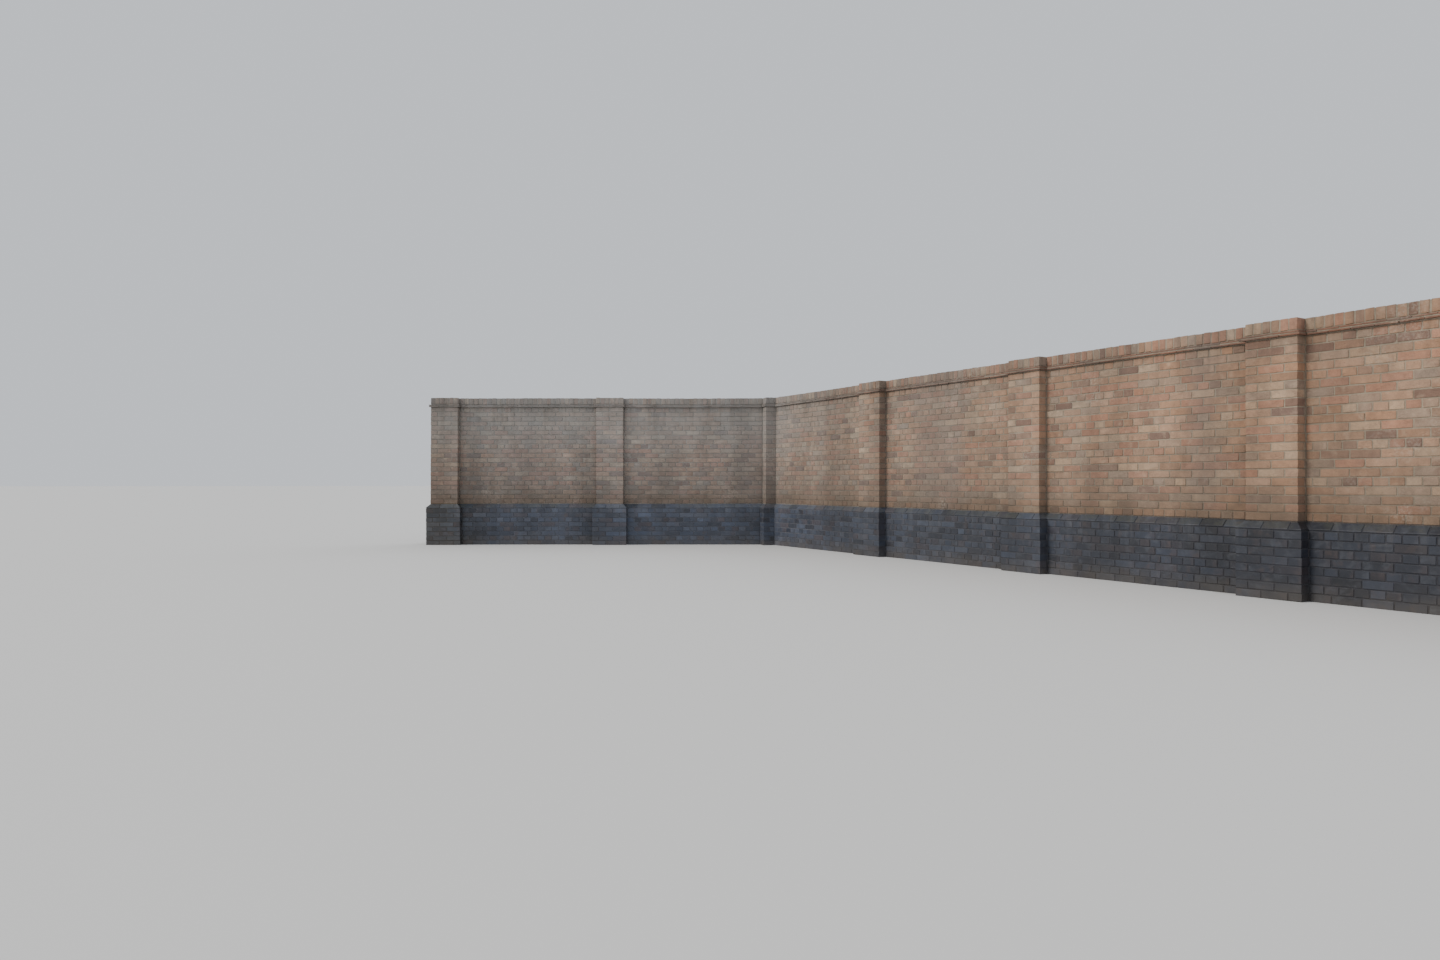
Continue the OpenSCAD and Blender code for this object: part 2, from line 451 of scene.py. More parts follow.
def face_normals(v, loops, first, count):
    """Each face's normal by Newell's sum, and the face of each corner."""
    face = np.repeat(np.arange(len(first)), count)
    after = np.arange(1, len(loops) + 1)
    after[first + count - 1] = first
    a, b = v[loops], v[loops[after]]
    n = np.add.reduceat(np.cross(a, b), first)
    n /= np.maximum(np.linalg.norm(n, axis=1, keepdims=True), 1e-12)
    return n, face


def bake_map(v, loops, sizes, kind, box, charts):
    """Lays every face where it shows, hidden sides in a thin rim inside their own
    brick and buried faces in a dot or the margin. Returns the places and the order
    in which faces are to be drawn, so that what shows is drawn last."""
    first = np.concatenate([[0], np.cumsum(sizes)[:-1]])
    n, face = face_normals(v, loops, first, sizes)
    normal = np.array([c.n / np.linalg.norm(c.n) for c in charts])
    facing = n @ normal.T
    p = v[loops]
    depth = np.full((len(loops), len(charts)), 9.0)
    shows = np.zeros((len(first), len(charts)), bool)
    for i, c in enumerate(charts):
        reach = box[:, :3] @ normal[i] + np.abs(box[:, 3:] * normal[i]).sum(1)
        for plane in c.planes:
            near = np.abs(reach - plane) < 0.013
            shows[:, i] |= near
            depth[:, i] = np.where(near[face], plane - p @ normal[i], depth[:, i])
    shows |= (kind == POINTING)[:, None]
    score = np.where(shows, facing, -9)
    best = score.argmax(1)
    seen = (score.max(1) > 0.3) & (kind != HIDDEN)
    least = np.minimum.reduceat(np.where(shows[face], depth, 9.0), first)
    nearest = least.argmin(1)
    side = ~seen & (kind == BRICK) & (least.min(1) < 0.010)
    buried = ~seen & ~side & (kind == BRICK) & shows.any(1)
    best = np.where(seen, best, nearest)
    uv = np.zeros((len(loops), 2))
    for i, c in enumerate(charts):
        at, mid = c.place(p), c.place(box[:, :3])[face]
        pull = np.where(side[face], 0.05 * np.clip(depth[:, i], 0, 0.1) / 0.1, 0.0)
        pull = np.where(buried[face], 0.97, pull)
        at = mid + (at - mid) * (1 - pull[:, None])
        uv = np.where((best[face] == i)[:, None], at, uv)
    parked = ~seen & ~side & ~buried
    span = np.maximum(np.ptp(p, axis=0), 1e-6)
    t = (p - p.min(0)) / span
    edge = np.stack([0.991 + 0.007 * (t[:, 0] + t[:, 1]) / 2, 0.002 + 0.996 * (t[:, 2] + t[:, 0]) / 2], -1)
    uv = np.where(parked[face][:, None], edge, uv)
    rank = np.select([parked, buried, kind == POINTING, side], [0, 1, 2, 3], 4)
    return uv, np.argsort(rank, kind="stable")


# ---------------------------------------------------------------- bonds
CLEAR = PITCH - PIER
X0, X1 = PIER / 2, PITCH - PIER / 2


def bond_joints(kind):
    """Upright joints of one course of a bay, from its left pier's face, as u pairs."""
    if kind == "stretcher":
        return [(0.225 * k, 0.225 * k + J) for k in range(11)]
    if kind == "stretcher_half":
        return [(0.0, J)] + [(0.1125 + 0.225 * k, 0.1225 + 0.225 * k) for k in range(10)] + [
            (CLEAR - J, CLEAR)]
    if kind == "header":
        return [(0.0, J)] + [(0.05625 + 0.1125 * k, 0.06625 + 0.1125 * k) for k in range(20)] + [
            (CLEAR - J, CLEAR)]
    raise ValueError(kind)


def course_kinds():
    """Which bond each course of a bay has: a header course, then three of stretchers."""
    kinds, stretchers = [], 0
    for c in range(WALL_COURSES):
        if c % 4 == 0:
            kinds.append("header")
        else:
            kinds.append("stretcher" if stretchers % 2 == 0 else "stretcher_half")
            stretchers += 1
    return kinds


def bay_faces(half):
    """The garden face and the far face of a bay, with u from the left pier's centre."""
    return (
        Face((0, -half, 0), (1, 0, 0), (0, 0, 1)),
        Face((PITCH, half, 0), (-1, 0, 0), (0, 0, 1)),
    )


def bay_wall(node, seed):
    p = Piece(node, seed)
    p.charts = bay_charts(WALL_T / 2, X0 - 0.02, X1 + 0.02, PLINTH_H - 0.002, WALL_TOP + 0.002)
    front, back = bay_faces(WALL_T / 2)
    half = WALL_T / 2
    c_face, h_face, turn, c_full, h_full = [], [], [], [], []
    for c, kind in enumerate(course_kinds()):
        z0 = PLINTH_H + c * COURSE
        joints = bond_joints(kind)
        for a, b in spans(joints, 0, CLEAR):
            x, hx, z = X0 + (a + b) / 2, (b - a) / 2, z0 + BH / 2
            if kind == "header":
                c_full.append((x, 0, z))
                h_full.append((hx, half, BH / 2))
            else:
                for side in (-1, 1):
                    c_face.append((x, side * (half - BW / 2), z))
                    h_face.append((hx, BW / 2, BH / 2))
                    turn.append(side > 0)
        for a, b in joints:
            perp(p, front, X0 + a, X0 + b, z0, z0 + BH, 1, FACING_MORTAR)
            perp(p, back, PITCH - X0 - b, PITCH - X0 - a, z0, z0 + BH, 1, FACING_MORTAR)
        for face in (front, back):
            bed(p, face, X0, X1, z0 + BH, z0 + COURSE, 1, FACING_MORTAR)
    lay(p, c_face, h_face, pick(p.rng, FACING, len(c_face)), 0, FACE, turn, chips=0.18)
    lay(p, c_full, h_full, pick(p.rng, FACING, len(c_full)), 0, FULL, chips=0.14)
    backing(p, (X0 - 0.02, -half + 0.009, PLINTH_H - 0.004),
            (X1 + 0.02, half - 0.009, WALL_TOP + 0.002), 1, FACING_MORTAR)
    return p


def plinth_joints(kind):
    """Upright joints of a plinth course, from the left shaft's face, between bases."""
    a, b = STEP, CLEAR - STEP
    if kind == "stretcher":
        return [(a, a + J)] + [(0.225 * k, 0.225 * k + J) for k in range(1, 10)] + [(b - J, b)]
    return [(a, a + J)] + [(0.05625 + 0.1125 * k, 0.06625 + 0.1125 * k) for k in range(1, 19)] + [
        (b - J, b)]


def chamfer_path(half, side=-1):
    """The section of a chamfered course, from its bed to the lip, with normals."""
    pts = [(half, PLINTH_H - COURSE - 0.004), (half, NOSE), (half - STEP, PLINTH_H - J)]
    nrm = [(1, 0), (1, 0.42), (0.42, 1)]
    return ([(0, side * y, z) for y, z in pts], [(0, side * y, z) for y, z in nrm])


def bay_plinth(node, seed):
    p = Piece(node, seed)
    p.charts = bay_charts(PLINTH_T / 2, X0 - 0.012, X1 + 0.012, -0.001, PLINTH_H + 0.002)
    half = PLINTH_T / 2
    front, back = bay_faces(half)
    centres, halves, turn, c_full, h_full, t_full = [], [], [], [], [], []
    for c in range(PLINTH_COURSES - 1):
        z0, z = c * COURSE, c * COURSE + BH / 2
        kinds = ("stretcher", "header") if c % 2 == 0 else ("header", "stretcher")
        for side, kind, face in ((-1, kinds[0], front), (1, kinds[1], back)):
            joints = plinth_joints(kind)
            depth = BW if kind == "stretcher" else BL
            for a, b in spans(joints, STEP, CLEAR - STEP):
                x, hx = X0 + (a + b) / 2, (b - a) / 2
                centres.append((x, side * (half - depth / 2), z))
                halves.append((hx, depth / 2, BH / 2))
                turn.append(side > 0)
            for a, b in joints:
                u = (X0 + a, X0 + b) if side < 0 else (PITCH - X0 - b, PITCH - X0 - a)
                perp(p, face, *u, z0, z0 + BH, 1, BLUE_MORTAR)
            bed(p, face, X0 + STEP, X1 - STEP, z0 + BH, z0 + COURSE, 1, BLUE_MORTAR)
    lay(p, centres, halves, pick(p.rng, BLUES, len(centres), 0.10, 0.03), 0, FACE, turn,
        r=0.0020, rough=0.0006, chips=0.05)
    # the chamfered course, which runs into the bases of the piers
    z0 = PLINTH_H - COURSE
    ends = [(-0.010, 0.225)] + [(0.225 * k + J, 0.225 * (k + 1)) for k in range(1, 9)] + [
        (CLEAR - 0.225, CLEAR + 0.010)]
    for side in (-1, 1):
        for a, b in ends:
            lo = (X0 + a, -half, z0)
            hi = (X0 + b, -half + BW, z0 + BH)
            v, loops, sizes, flat = cut_solid(
                lo, hi, [((0, -half, NOSE), (0, -1, 1))], r=0.0022, rng=p.rng)
            v = v + p.rng.normal(0, 0.0006, 3)
            if side > 0:
                v = v * [-1, -1, 1] + [PITCH, 0, 0]
            p.add(v, loops, sizes, 0, flat, pick(p.rng, BLUES, 1, 0.10, 0.03),
                  p.rng.uniform(-40, 40, 3))
        path, nrm = chamfer_path(half, -1)
        for (_, a), (b, _) in zip(ends[:-1], ends[1:]):
            start = len(p.v)
            path_joint(p, path, nrm, X0 + a, X0 + b, (1, 0, 0), 1, BLUE_MORTAR)
            if side > 0:
                p.v[start] = p.v[start] * [-1, -1, 1] + [PITCH, 0, 0]
    for face in bay_faces(WALL_T / 2):
        bed(p, face, X0, X1, PLINTH_H - J, PLINTH_H, 1, FOOT_MORTAR)
    t = half - 0.009
    backing(p, (X0, -t, 0.0005), (X1, t, PLINTH_H - 0.003), 1, BLUE_MORTAR,
            [((0, s * t, NOSE - 0.004), (0, s, 1)) for s in (-1, 1)]
            + [((X0 + STEP, 0, NOSE - 0.004), (-1, 0, -1)), ((X1 - STEP, 0, NOSE - 0.004), (1, 0, -1))])
    return p


def turn4(v, k):
    """v turned k quarter turns about the vertical through a pier's centre."""
    for _ in range(k % 4):
        v = np.stack([-v[..., 1], v[..., 0], v[..., 2]], -1)
    return v


def pier_faces(half):
    """The four faces of a pier, garden side first, u measured from the middle."""
    return [
        Face(turn4(np.array([0.0, -half, 0.0]), k), turn4(np.array([1.0, 0, 0]), k), (0, 0, 1))
        for k in range(4)
    ]


def pier_shaft(node, seed):
    p = Piece(node, seed)
    p.charts = pier_charts([PIER / 2], PLINTH_H - 0.002, WALL_TOP + 0.002, 4)
    half = PIER / 2
    faces = pier_faces(half)
    centres, halves = [], []
    for c in range(WALL_COURSES):
        z0 = PLINTH_H + c * COURSE
        z, odd = z0 + BH / 2, c % 2
        rows = [((s * 0.1125, t * (half - BW / 2), z), (BL / 2, BW / 2, BH / 2))
                for s in (-1, 1) for t in (-1, 1)]
        rows += [((t * (half - BW / 2), 0, z), (BW / 2, BL / 2, BH / 2)) for t in (-1, 1)]
        for (x, y, zz), (hx, hy, hz) in rows:
            centres.append((y, x, zz) if odd else (x, y, zz))
            halves.append((hy, hx, hz) if odd else (hx, hy, hz))
        for k, face in enumerate(faces):
            if (k + odd) % 2 == 0:
                perp(p, face, -J / 2, J / 2, z0, z0 + BH, 1, FACING_MORTAR)
            else:
                for s in (-1, 1):
                    m = s * (half - BW - J / 2)
                    perp(p, face, m - J / 2, m + J / 2, z0, z0 + BH, 1, FACING_MORTAR)
            bed(p, face, -half + JOINT_EDGE, half - JOINT_EDGE, z0 + BH, z0 + COURSE, 1,
                FACING_MORTAR)
    lay(p, centres, halves, pick(p.rng, FACING, len(centres)), 0, FULL, chips=0.12)
    t = half - 0.009
    backing(p, (-t, -t, PLINTH_H - 0.004), (t, t, WALL_TOP + 0.002), 1, FACING_MORTAR)
    return p


def pier_base(node, seed):
    p = Piece(node, seed)
    p.charts = pier_charts([BASE / 2], -0.001, PLINTH_H + 0.002, 2)
    half = BASE / 2
    faces = pier_faces(half)
    low = -half
    units = [(low, low + BL), (low + BL + J, low + 2 * BL + J)]
    centres, halves = [], []
    for c in range(PLINTH_COURSES - 1):
        z0, z, flip = c * COURSE, c * COURSE + BH / 2, -1 if c % 2 else 1
        for k in range(4):
            for a, b in units:
                x, y = flip * (a + b) / 2, low + BW / 2
                at = turn4(np.array([x, y, z]), k)
                centres.append(at)
                halves.append((BL / 2, BW / 2, BH / 2) if k % 2 == 0 else (BW / 2, BL / 2, BH / 2))
            for m in (low + BL + J / 2, low + 2 * BL + 1.5 * J):
                perp(p, faces[k], flip * m - J / 2, flip * m + J / 2, z0, z0 + BH, 1, BLUE_MORTAR)
            bed(p, faces[k], -half + JOINT_EDGE, half - JOINT_EDGE, z0 + BH, z0 + COURSE, 1,
                BLUE_MORTAR)
    lay(p, centres, halves, pick(p.rng, BLUES, len(centres), 0.10, 0.03), 0, FULL,
        r=0.0020, rough=0.0006, chips=0.06)
    z0 = PLINTH_H - COURSE
    path, nrm = chamfer_path(half)
    for k in range(4):
        for i, (a, b) in enumerate(units):
            planes = [((0, -half, NOSE), (0, -1, 1))]
            if i == 0:
                planes.append(((-half, 0, NOSE), (-1, 0, 1)))
            v, loops, sizes, flat = cut_solid((a, -half, z0), (b, -half + BW, z0 + BH), planes,
                                              r=0.0022, rng=p.rng)
            v = turn4(v + p.rng.normal(0, 0.0005, 3), k)
            p.add(v, loops, sizes, 0, flat, pick(p.rng, BLUES, 1, 0.10, 0.03),
                  p.rng.uniform(-40, 40, 3))
        for m in (low + BL, low + 2 * BL + J):
            start = len(p.v)
            path_joint(p, path, nrm, m, m + J, (1, 0, 0), 1, BLUE_MORTAR)
            p.v[start] = turn4(p.v[start], k)
    for face in pier_faces(PIER / 2):
        bed(p, face, -PIER / 2 + JOINT_EDGE, PIER / 2 - JOINT_EDGE, PLINTH_H - J, PLINTH_H, 1,
            FOOT_MORTAR)
    t = half - 0.009
    backing(p, (-t, -t, 0.0005), (t, t, PLINTH_H - 0.003), 1, BLUE_MORTAR,
            [((s * t, 0, NOSE - 0.004), (s, 0, 1)) for s in (-1, 1)]
            + [((0, s * t, NOSE - 0.004), (0, s, 1)) for s in (-1, 1)])
    return p


def tile_layer(piece, cells, z, mat):
    """cells: (x0, x1, y0, y1) of each tile in one layer whose underside is at z."""
    c = np.array([((a + b) / 2, (d + e) / 2, z + TILE_H / 2) for a, b, d, e in cells])
    h = np.array([((b - a) / 2, (e - d) / 2, TILE_H / 2) for a, b, d, e in cells])
    lay(piece, c, h, pick(piece.rng, TILES, len(c), 0.08, 0.03), mat, FULL, r=0.0022,
        rough=0.0010, about=(0.25, 0.25, 0.3), shift=(0.0008, 0.0016, 0.0004))


def bay_creasing(node, seed):
    p = Piece(node, seed)
    p.charts = bay_charts(TILE_L / 2, HEAD / 2 - 0.012, PITCH - HEAD / 2 + 0.012,
                          WALL_TOP - 0.002, CREASE_TOP + 0.002, CREASE_TOP, WALL_TOP)
    x0, x1, half = HEAD / 2, PITCH - HEAD / 2, TILE_L / 2
    pitch, gap = (x1 - x0) / 13, 0.005
    lower = [(x0 + pitch * k + gap / 2, x0 + pitch * (k + 1) - gap / 2, -half, half)
             for k in range(13)]
    upper = [(x0 + gap / 2, x0 + pitch / 2 - gap / 2, -half, half)]
    upper += [(x0 + pitch * (k + 0.5) + gap / 2, x0 + pitch * (k + 1.5) - gap / 2, -half, half)
              for k in range(12)]
    upper += [(x1 - pitch / 2 + gap / 2, x1 - gap / 2, -half, half)]
    tile_layer(p, lower, WALL_TOP, 0)
    tile_layer(p, upper, WALL_TOP + TILE_H + TILE_J, 0)
    for face in bay_faces(half):
        bed(p, face, x0, x1, WALL_TOP + TILE_H, WALL_TOP + TILE_H + TILE_J, 1, FACING_MORTAR)
    t = half - 0.010
    backing(p, (x0 - 0.01, -t, WALL_TOP + 0.003), (x1 + 0.01, t, CREASE_TOP - 0.003),
            1, FACING_MORTAR)
    return p


def edge_course(piece, xs, ys):
    """Bricks on edge: xs are their middles along the run, ys (low, high) across it."""
    z = CREASE_TOP + J + BW / 2
    c = [(x, (a + b) / 2, z) for a, b in ys for x in xs]
    h = [(BH / 2, (b - a) / 2, BW / 2) for a, b in ys for x in xs]
    lay(piece, c, h, pick(piece.rng, FACING, len(c), 0.08), 0, FULL, r=0.0034, rough=0.0012,
        about=(0.4, 0.5, 0.4), shift=(0.0006, 0.0010, 0.0010), chips=0.25)


def over_path(half, z0, z1):
    pts = [(0, -half, z0), (0, -half, z1), (0, half, z1), (0, half, z0)]
    nrm = [(0, -1, 0), (0, -1, 1), (0, 1, 1), (0, 1, 0)]
    return pts, nrm


def bay_coping(node, seed):
    p = Piece(node, seed)
    p.charts = bay_charts(WALL_T / 2, X0 - 0.012, X1 + 0.012, CREASE_TOP - 0.002, TOP + 0.004, TOP)
    half = WALL_T / 2
    xs = [X0 + J + BH / 2 + COURSE * k for k in range(30)]
    edge_course(p, xs, [(-half, half)])
    path, nrm = over_path(half, CREASE_TOP, TOP)
    for k in range(31):
        path_joint(p, path, nrm, X0 + COURSE * k, X0 + COURSE * k + J, (1, 0, 0), 1, FACING_MORTAR)
    for face in bay_faces(half):
        bed(p, face, X0, X1, CREASE_TOP, CREASE_TOP + J, 1, FACING_MORTAR)
    t = half - 0.009
    backing(p, (X0 - 0.01, -t, CREASE_TOP - 0.004), (X1 + 0.01, t, TOP - 0.009), 1, FACING_MORTAR)
    return p


def pier_cap(node, seed):
    p = Piece(node, seed)
    p.charts = pier_charts([PIER / 2, HEAD / 2], WALL_TOP - 0.002, TOP + 0.004, 1,
                           [TOP, CREASE_TOP], [WALL_TOP])
    half, head, gap = PIER / 2, HEAD / 2, 0.005
    third = (HEAD - 2 * gap) / 3
    cols = [(-head + (third + gap) * k, -head + (third + gap) * k + third) for k in range(3)]
    rows = [(-head, -head + TILE_L), (-head + TILE_L + gap, head)]
    tile_layer(p, [(a, b, c, d) for a, b in cols for c, d in rows], WALL_TOP, 2)
    tile_layer(p, [(c, d, a, b) for a, b in cols for c, d in rows], WALL_TOP + TILE_H + TILE_J, 2)
    edge_course(p, [-half + BH / 2 + COURSE * k for k in range(6)],
                [(-half, -J / 2), (J / 2, half)])
    path, nrm = over_path(half, CREASE_TOP, TOP)
    for k in range(1, 6):
        x = -half + COURSE * k - J
        path_joint(p, path, nrm, x, x + J, (1, 0, 0), 1, FACING_MORTAR)
    side = Face((0, 0, TOP), (1, 0, 0), (0, 1, 0))
    bed(p, side, -half + JOINT_EDGE, half - JOINT_EDGE, -J / 2, J / 2, 1, FACING_MORTAR)
    for k, face in enumerate(pier_faces(half)):
        bed(p, face, -half + JOINT_EDGE, half - JOINT_EDGE, CREASE_TOP, CREASE_TOP + J, 1,
            FACING_MORTAR)
        if k % 2:
            perp(p, face, -J / 2, J / 2, CREASE_TOP + J, TOP, 1, FACING_MORTAR)
    t = half - 0.009
    backing(p, (-t, -t, CREASE_TOP - 0.004), (t, t, TOP - 0.009), 1, FACING_MORTAR)
    for face in pier_faces(head):
        bed(p, face, -head + JOINT_EDGE, head - JOINT_EDGE, WALL_TOP + TILE_H,
            WALL_TOP + TILE_H + TILE_J, 1, FACING_MORTAR)
    t = head - 0.010
    backing(p, (-t, -t, WALL_TOP + 0.003), (t, t, CREASE_TOP - 0.003), 1, FACING_MORTAR)
    return p


# ---------------------------------------------------------------- materials
class Tree:
    """Short names for building a material's nodes."""

    def __init__(self, name):
        self.m = bpy.data.materials.new(name)
        self.m.use_nodes = True
        self.t = self.m.node_tree
        self.t.nodes.clear()
        self.out = self.t.nodes.new("ShaderNodeOutputMaterial")
        self.bsdf = self.t.nodes.new("ShaderNodeBsdfPrincipled")
        self.t.links.new(self.bsdf.outputs[0], self.out.inputs[0])

    def put(self, socket, value):
        if isinstance(value, bpy.types.NodeSocket):
            self.t.links.new(value, socket)
        elif hasattr(socket, "default_value"):
            if isinstance(value, (tuple, list, np.ndarray)) and len(socket.default_value) == 4:
                value = (*value[:3], 1.0)
            socket.default_value = value

    def node(self, kind, out=0, props=None, **ins):
        n = self.t.nodes.new(kind)
        for k, v in (props or {}).items():
            setattr(n, k, v)
        for k, v in ins.items():
            self.put(n.inputs[int(k[1:]) if k[0] == "i" and k[1:].isdigit() else k], v)
        return n.outputs[out]

    def math(self, op, a, b=0.0, clamp=False):
        return self.node("ShaderNodeMath", props={"operation": op, "use_clamp": clamp}, i0=a, i1=b)

    def vec(self, op, a, b=(0.0, 0.0, 0.0)):
        n = self.t.nodes.new("ShaderNodeVectorMath")
        n.operation = op
        self.put(n.inputs[0], a)
        if op == "SCALE":
            self.put(n.inputs["Scale"], b)
        else:
            self.put(n.inputs[1], b)
        return n.outputs["Value" if op in ("DOT_PRODUCT", "LENGTH") else "Vector"]

    def noise(self, vector, scale, detail=3.0, rough=0.55, out=0):
        return self.node("ShaderNodeTexNoise", out, Vector=vector, Scale=scale, Detail=detail,
                         Roughness=rough)

    def ramp(self, value, lo, hi, a=0.0, b=1.0, smooth=True):
        """value from lo..hi to a..b, held at both ends."""
        return self.node("ShaderNodeMapRange",
                         props={"interpolation_type": "SMOOTHSTEP" if smooth else "LINEAR"},
                         i0=value, i1=lo, i2=hi, i3=a, i4=b)

    def mix(self, factor, a, b, blend="MIX"):
        n = self.t.nodes.new("ShaderNodeMix")
        n.data_type, n.blend_type, n.clamp_factor = "RGBA", blend, True
        self.put(n.inputs[0], factor)
        self.put(n.inputs[6], a)
        self.put(n.inputs[7], b)
        return n.outputs[2]

    def attribute(self, name, out):
        n = self.t.nodes.new("ShaderNodeAttribute")
        n.attribute_name = name
        return n.outputs[out]


def weather(t, colour, place, kind):
    """Upright streaks and bands of tone, run-off below the coping, damp over the plinth, splash marks at
    the foot and growth on ledges, laid over a colour. Returns the colour and the growth."""
    xyz = t.t.nodes.new("ShaderNodeSeparateXYZ")
    t.put(xyz.inputs[0], place)
    z = xyz.outputs[2]
    wu = t.attribute("wu", "Fac")
    broad = t.node("ShaderNodeCombineXYZ", i0=t.math("MULTIPLY", wu, 2.1),
                   i1=t.math("MULTIPLY", z, 0.14), i2=3.9)
    fine = t.node("ShaderNodeCombineXYZ", i0=t.math("MULTIPLY", wu, 13.0),
                  i1=t.math("MULTIPLY", z, 0.7), i2=4.0)
    bands = t.node("ShaderNodeCombineXYZ", i0=t.math("MULTIPLY", wu, 0.95),
                   i1=t.math("MULTIPLY", z, 0.10), i2=70.17)
    streak = t.noise(broad, 1.0, 2.0, 0.5)
    thread = t.noise(fine, 1.0, 4.0, 0.62)
    band = t.node("ShaderNodeTexNoise", "Color", Vector=bands, Scale=1.0, Detail=1.0,
                  Roughness=0.4)
    part = t.t.nodes.new("ShaderNodeSeparateColor")
    t.put(part.inputs[0], band)
    depth = t.math("ADD", t.ramp(streak, 0.34, 0.66, 0.88, 1.12),
                   t.math("ADD", t.ramp(thread, 0.3, 0.7, -0.05, 0.05),
                          t.ramp(part.outputs[0], 0.40, 0.60, -0.13, 0.13)))
    colour = t.mix(1.0, colour, t.node("ShaderNodeCombineColor", i0=depth, i1=depth, i2=depth),
                   "MULTIPLY")
    soft = t.noise(place, 3.1, 5.0, 0.62)
    fleck = t.noise(place, 46.0, 4.0, 0.7)
    if kind in ("brick", "mortar"):
        # some stretches of the wall are greyer than others
        colour = t.mix(t.ramp(part.outputs[1], 0.44, 0.62, 0.0, 0.34), colour,
                       linear((122, 114, 108)))
        # the back run paler and greyer under the coping; the walling darker towards the plinth
        far = t.ramp(wu, 22.5, 19.5)
        paler_top = t.math("MULTIPLY", far, t.ramp(z, 1.35, 2.0))
        colour = t.mix(t.math("MULTIPLY", paler_top, 0.34), colour, linear((149, 150, 147)))
        dull = t.ramp(z, 1.72, 0.78)
        colour = t.mix(t.math("MULTIPLY", dull, 0.31), colour, linear((88, 80, 72)))
        # grime in broad patches
        grime = t.math("MULTIPLY", t.ramp(soft, 0.46, 0.70), t.ramp(fleck, 0.30, 0.60, 0.4, 1.0))
        colour = t.mix(t.math("MULTIPLY", grime, 0.26), colour, linear((84, 76, 66)))
        # run-off under the creasing
        runs = t.math("MULTIPLY", t.ramp(z, 1.60, 2.26), t.ramp(thread, 0.46, 0.66))
        colour = t.mix(t.math("MULTIPLY", runs, 0.28), colour, linear((70, 63, 55)))
        # a darker band just under the creasing
        line = t.math("MULTIPLY", t.ramp(z, 2.10, 2.24), t.ramp(soft, 0.30, 0.60, 0.35, 1.0))
        colour = t.mix(t.math("MULTIPLY", line, 0.12), colour, linear((78, 72, 62)))
        # damp over the plinth
        damp = t.math("MULTIPLY", t.ramp(z, PLINTH_H + 0.42, PLINTH_H + 0.02),
                      t.ramp(soft, 0.30, 0.62, 0.35, 1.0))
        colour = t.mix(t.math("MULTIPLY", damp, 0.34), colour, linear((82, 74, 62)))
        foot = t.math("MULTIPLY", t.ramp(z, PLINTH_H + 0.20, PLINTH_H + 0.02),
                      t.ramp(soft, 0.25, 0.55, 0.5, 1.0))
        colour = t.mix(t.math("MULTIPLY", foot, 0.34), colour, linear((88, 68, 50)))
        # salts left by drying
        bloom = t.math("MULTIPLY", t.ramp(t.noise(place, 1.7, 3.0, 0.6), 0.56, 0.70),
                       t.ramp(fleck, 0.45, 0.62))
        colour = t.mix(t.math("MULTIPLY", bloom, 0.24), colour, linear((190, 180, 166)))
    else:
        splash = t.math("MULTIPLY", t.ramp(z, 0.22, 0.0), t.ramp(soft, 0.30, 0.60, 0.3, 1.0))
        colour = t.mix(t.math("MULTIPLY", splash, 0.42), colour, linear((84, 77, 68)))
        wash = t.math("MULTIPLY", t.ramp(z, 0.30, 0.66), t.ramp(thread, 0.50, 0.70))
        colour = t.mix(t.math("MULTIPLY", wash, 0.09), colour, linear((130, 128, 124)))
    # growth where rain lies: on what faces up
    geo = t.t.nodes.new("ShaderNodeNewGeometry")
    up = t.t.nodes.new("ShaderNodeSeparateXYZ")
    t.put(up.inputs[0], geo.outputs["Normal"])
    level = t.ramp(up.outputs[2], 0.35, 0.85)
    ledge = t.math("MULTIPLY", level, t.math("MULTIPLY", t.ramp(soft, 0.40, 0.60),
                                             t.ramp(fleck, 0.35, 0.60, 0.3, 1.0)))
    dark = kind == "blue"
    colour = t.mix(t.math("MULTIPLY", ledge, 0.42 if dark else 0.62), colour,
                   linear((72, 73, 56) if dark else (80, 80, 60)))
    spots = t.math("MULTIPLY", t.ramp(t.noise(place, 55.0, 4.0, 0.7), 0.62, 0.72),
                   t.math("MULTIPLY", level, t.ramp(t.noise(place, 4.0, 2.0, 0.5), 0.45, 0.60)))
    colour = t.mix(t.math("MULTIPLY", spots, 0.30 if dark else 0.5), colour,
                   linear((112, 111, 94) if dark else (158, 154, 128)))
    return colour, ledge


